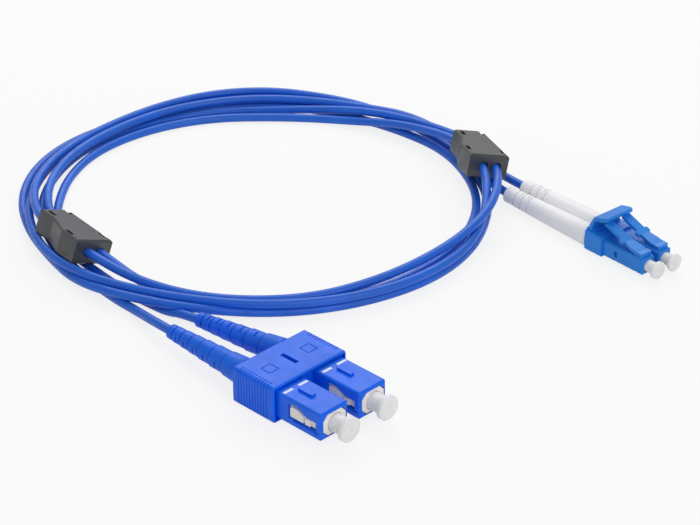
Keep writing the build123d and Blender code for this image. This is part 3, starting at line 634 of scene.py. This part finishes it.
def seen_white(tree, surface):
    """Surface that the camera, mirrors and glass see mostly as plain white, with its shadow kept."""
    nodes = tree.nodes
    path = nodes.new("ShaderNodeLightPath")
    seen = path.outputs["Is Camera Ray"]
    for kind in ("Is Glossy Ray", "Is Transmission Ray"):
        either = nodes.new("ShaderNodeMath")
        either.operation = "MAXIMUM"
        tree.links.new(seen, either.inputs[0])
        tree.links.new(path.outputs[kind], either.inputs[1])
        seen = either.outputs[0]
    share = nodes.new("ShaderNodeMath")
    share.operation = "MULTIPLY"
    share.inputs[1].default_value = WHITE_SHARE
    tree.links.new(seen, share.inputs[0])
    white = nodes.new("ShaderNodeEmission")
    mix = nodes.new("ShaderNodeMixShader")
    tree.links.new(share.outputs[0], mix.inputs[0])
    tree.links.new(surface, mix.inputs[1])
    tree.links.new(white.outputs[0], mix.inputs[2])
    return mix.outputs[0]


def floor_sheet(size, colour):
    """Flat square grid of the floor, seen white."""
    across = np.array((-size, size))
    x, y = (grid.ravel() for grid in np.meshgrid(across, across))
    mesh = bpy.data.meshes.new("floor")
    mesh.from_pydata(np.stack((x, y, np.zeros(4)), axis=1).tolist(), [], [(0, 1, 3, 2)])
    finish = Finish("floor")
    finish.shader.inputs["Base Color"].default_value = (*colour, 1.0)
    finish.shader.inputs["Roughness"].default_value = 0.9
    finish.shader.inputs["Specular IOR Level"].default_value = 0.1
    output = finish.tree.nodes["Material Output"]
    finish.join(seen_white(finish.tree, finish.shader.outputs[0]), output.inputs["Surface"])
    mesh.materials.append(finish.material)
    floor = bpy.data.objects.new("floor", mesh)
    bpy.context.scene.collection.objects.link(floor)


def soft_lamp(name, lamp, target, power):
    """Square area lamp, (place, size), turned to target."""
    place, size = lamp
    light = bpy.data.lights.new(name, "AREA")
    light.size = size
    light.energy = power
    stand = bpy.data.objects.new(name, light)
    stand.location = place
    stand.rotation_euler = (Vector(target) - Vector(place)).to_track_quat("-Z", "Y").to_euler()
    bpy.context.scene.collection.objects.link(stand)


class PATCHLEAD_OT_studio(bpy.types.Operator):
    """Set the camera, the floor, the sky and the lamps"""

    bl_idname = "patch_lead.studio"
    bl_label = "Studio"

    def execute(self, context):
        studio = context.scene.patch_lead_studio
        scene = context.scene
        target = Vector(studio.camera_target)
        flat = math.cos(studio.camera_elevation)
        back = Vector((
            flat * math.sin(studio.camera_azimuth),
            -flat * math.cos(studio.camera_azimuth),
            math.sin(studio.camera_elevation),
        ))
        camera = bpy.data.cameras.new("camera")
        camera.sensor_width = SENSOR_WIDTH
        camera.lens = studio.camera_lens
        camera.clip_start = 10 * MM
        viewer = bpy.data.objects.new("camera", camera)
        viewer.location = target + back * studio.camera_distance
        viewer.rotation_euler = (-back).to_track_quat("-Z", "Y").to_euler()
        scene.collection.objects.link(viewer)
        scene.camera = viewer
        floor_sheet(FLOOR_HALF, studio.floor)
        soft_lamp("back_light", BACK_LAMP, target, studio.back_power)
        soft_lamp("front_light", FRONT_LAMP, target, studio.front_power)
        world = bpy.data.worlds.new("sky")
        world.use_nodes = True
        sky = world.node_tree.nodes["Background"]
        sky.inputs["Color"].default_value = (1.0, 1.0, 1.0, 1.0)
        sky.inputs["Strength"].default_value = studio.sky
        scene.world = world
        scene.view_settings.view_transform = "Standard"
        return {"FINISHED"}


class PATCHLEAD_PT_sidebar(bpy.types.Panel):
    """Sizes, colours and steps of the patch lead"""

    bl_idname = "PATCHLEAD_PT_sidebar"
    bl_label = "Patch Lead"
    bl_space_type = "VIEW_3D"
    bl_region_type = "UI"
    bl_category = "Patch Lead"

    def draw(self, context):
        for settings in (
            context.scene.patch_lead_sizes,
            context.scene.patch_lead_colours,
            context.scene.patch_lead_studio,
        ):
            box = self.layout.box()
            for name in settings.__annotations__:
                box.prop(settings, name)
        for step in STEPS:
            self.layout.operator(step.bl_idname)


STEPS = (
    PATCHLEAD_OT_cables,
    PATCHLEAD_OT_square_pair,
    PATCHLEAD_OT_small_pair,
    PATCHLEAD_OT_inner_pieces,
    PATCHLEAD_OT_snap_clips,
    PATCHLEAD_OT_studio,
)
SETTINGS = {
    "patch_lead_sizes": PatchLeadSizes,
    "patch_lead_colours": PatchLeadColours,
    "patch_lead_studio": PatchLeadStudio,
}
CLASSES = (*SETTINGS.values(), *STEPS, PATCHLEAD_PT_sidebar)


def register():
    for kind in CLASSES:
        bpy.utils.register_class(kind)
    for name, kind in SETTINGS.items():
        setattr(bpy.types.Scene, name, bpy.props.PointerProperty(type=kind))


def unregister():
    for name in SETTINGS:
        delattr(bpy.types.Scene, name)
    for kind in reversed(CLASSES):
        bpy.utils.unregister_class(kind)


def main():
    register()
    bpy.ops.patch_lead.cables()
    bpy.ops.patch_lead.square_pair()
    bpy.ops.patch_lead.small_pair()
    bpy.ops.patch_lead.inner_pieces()
    bpy.ops.patch_lead.snap_clips()
    bpy.ops.patch_lead.studio()


if __name__ == "__main__":
    main()
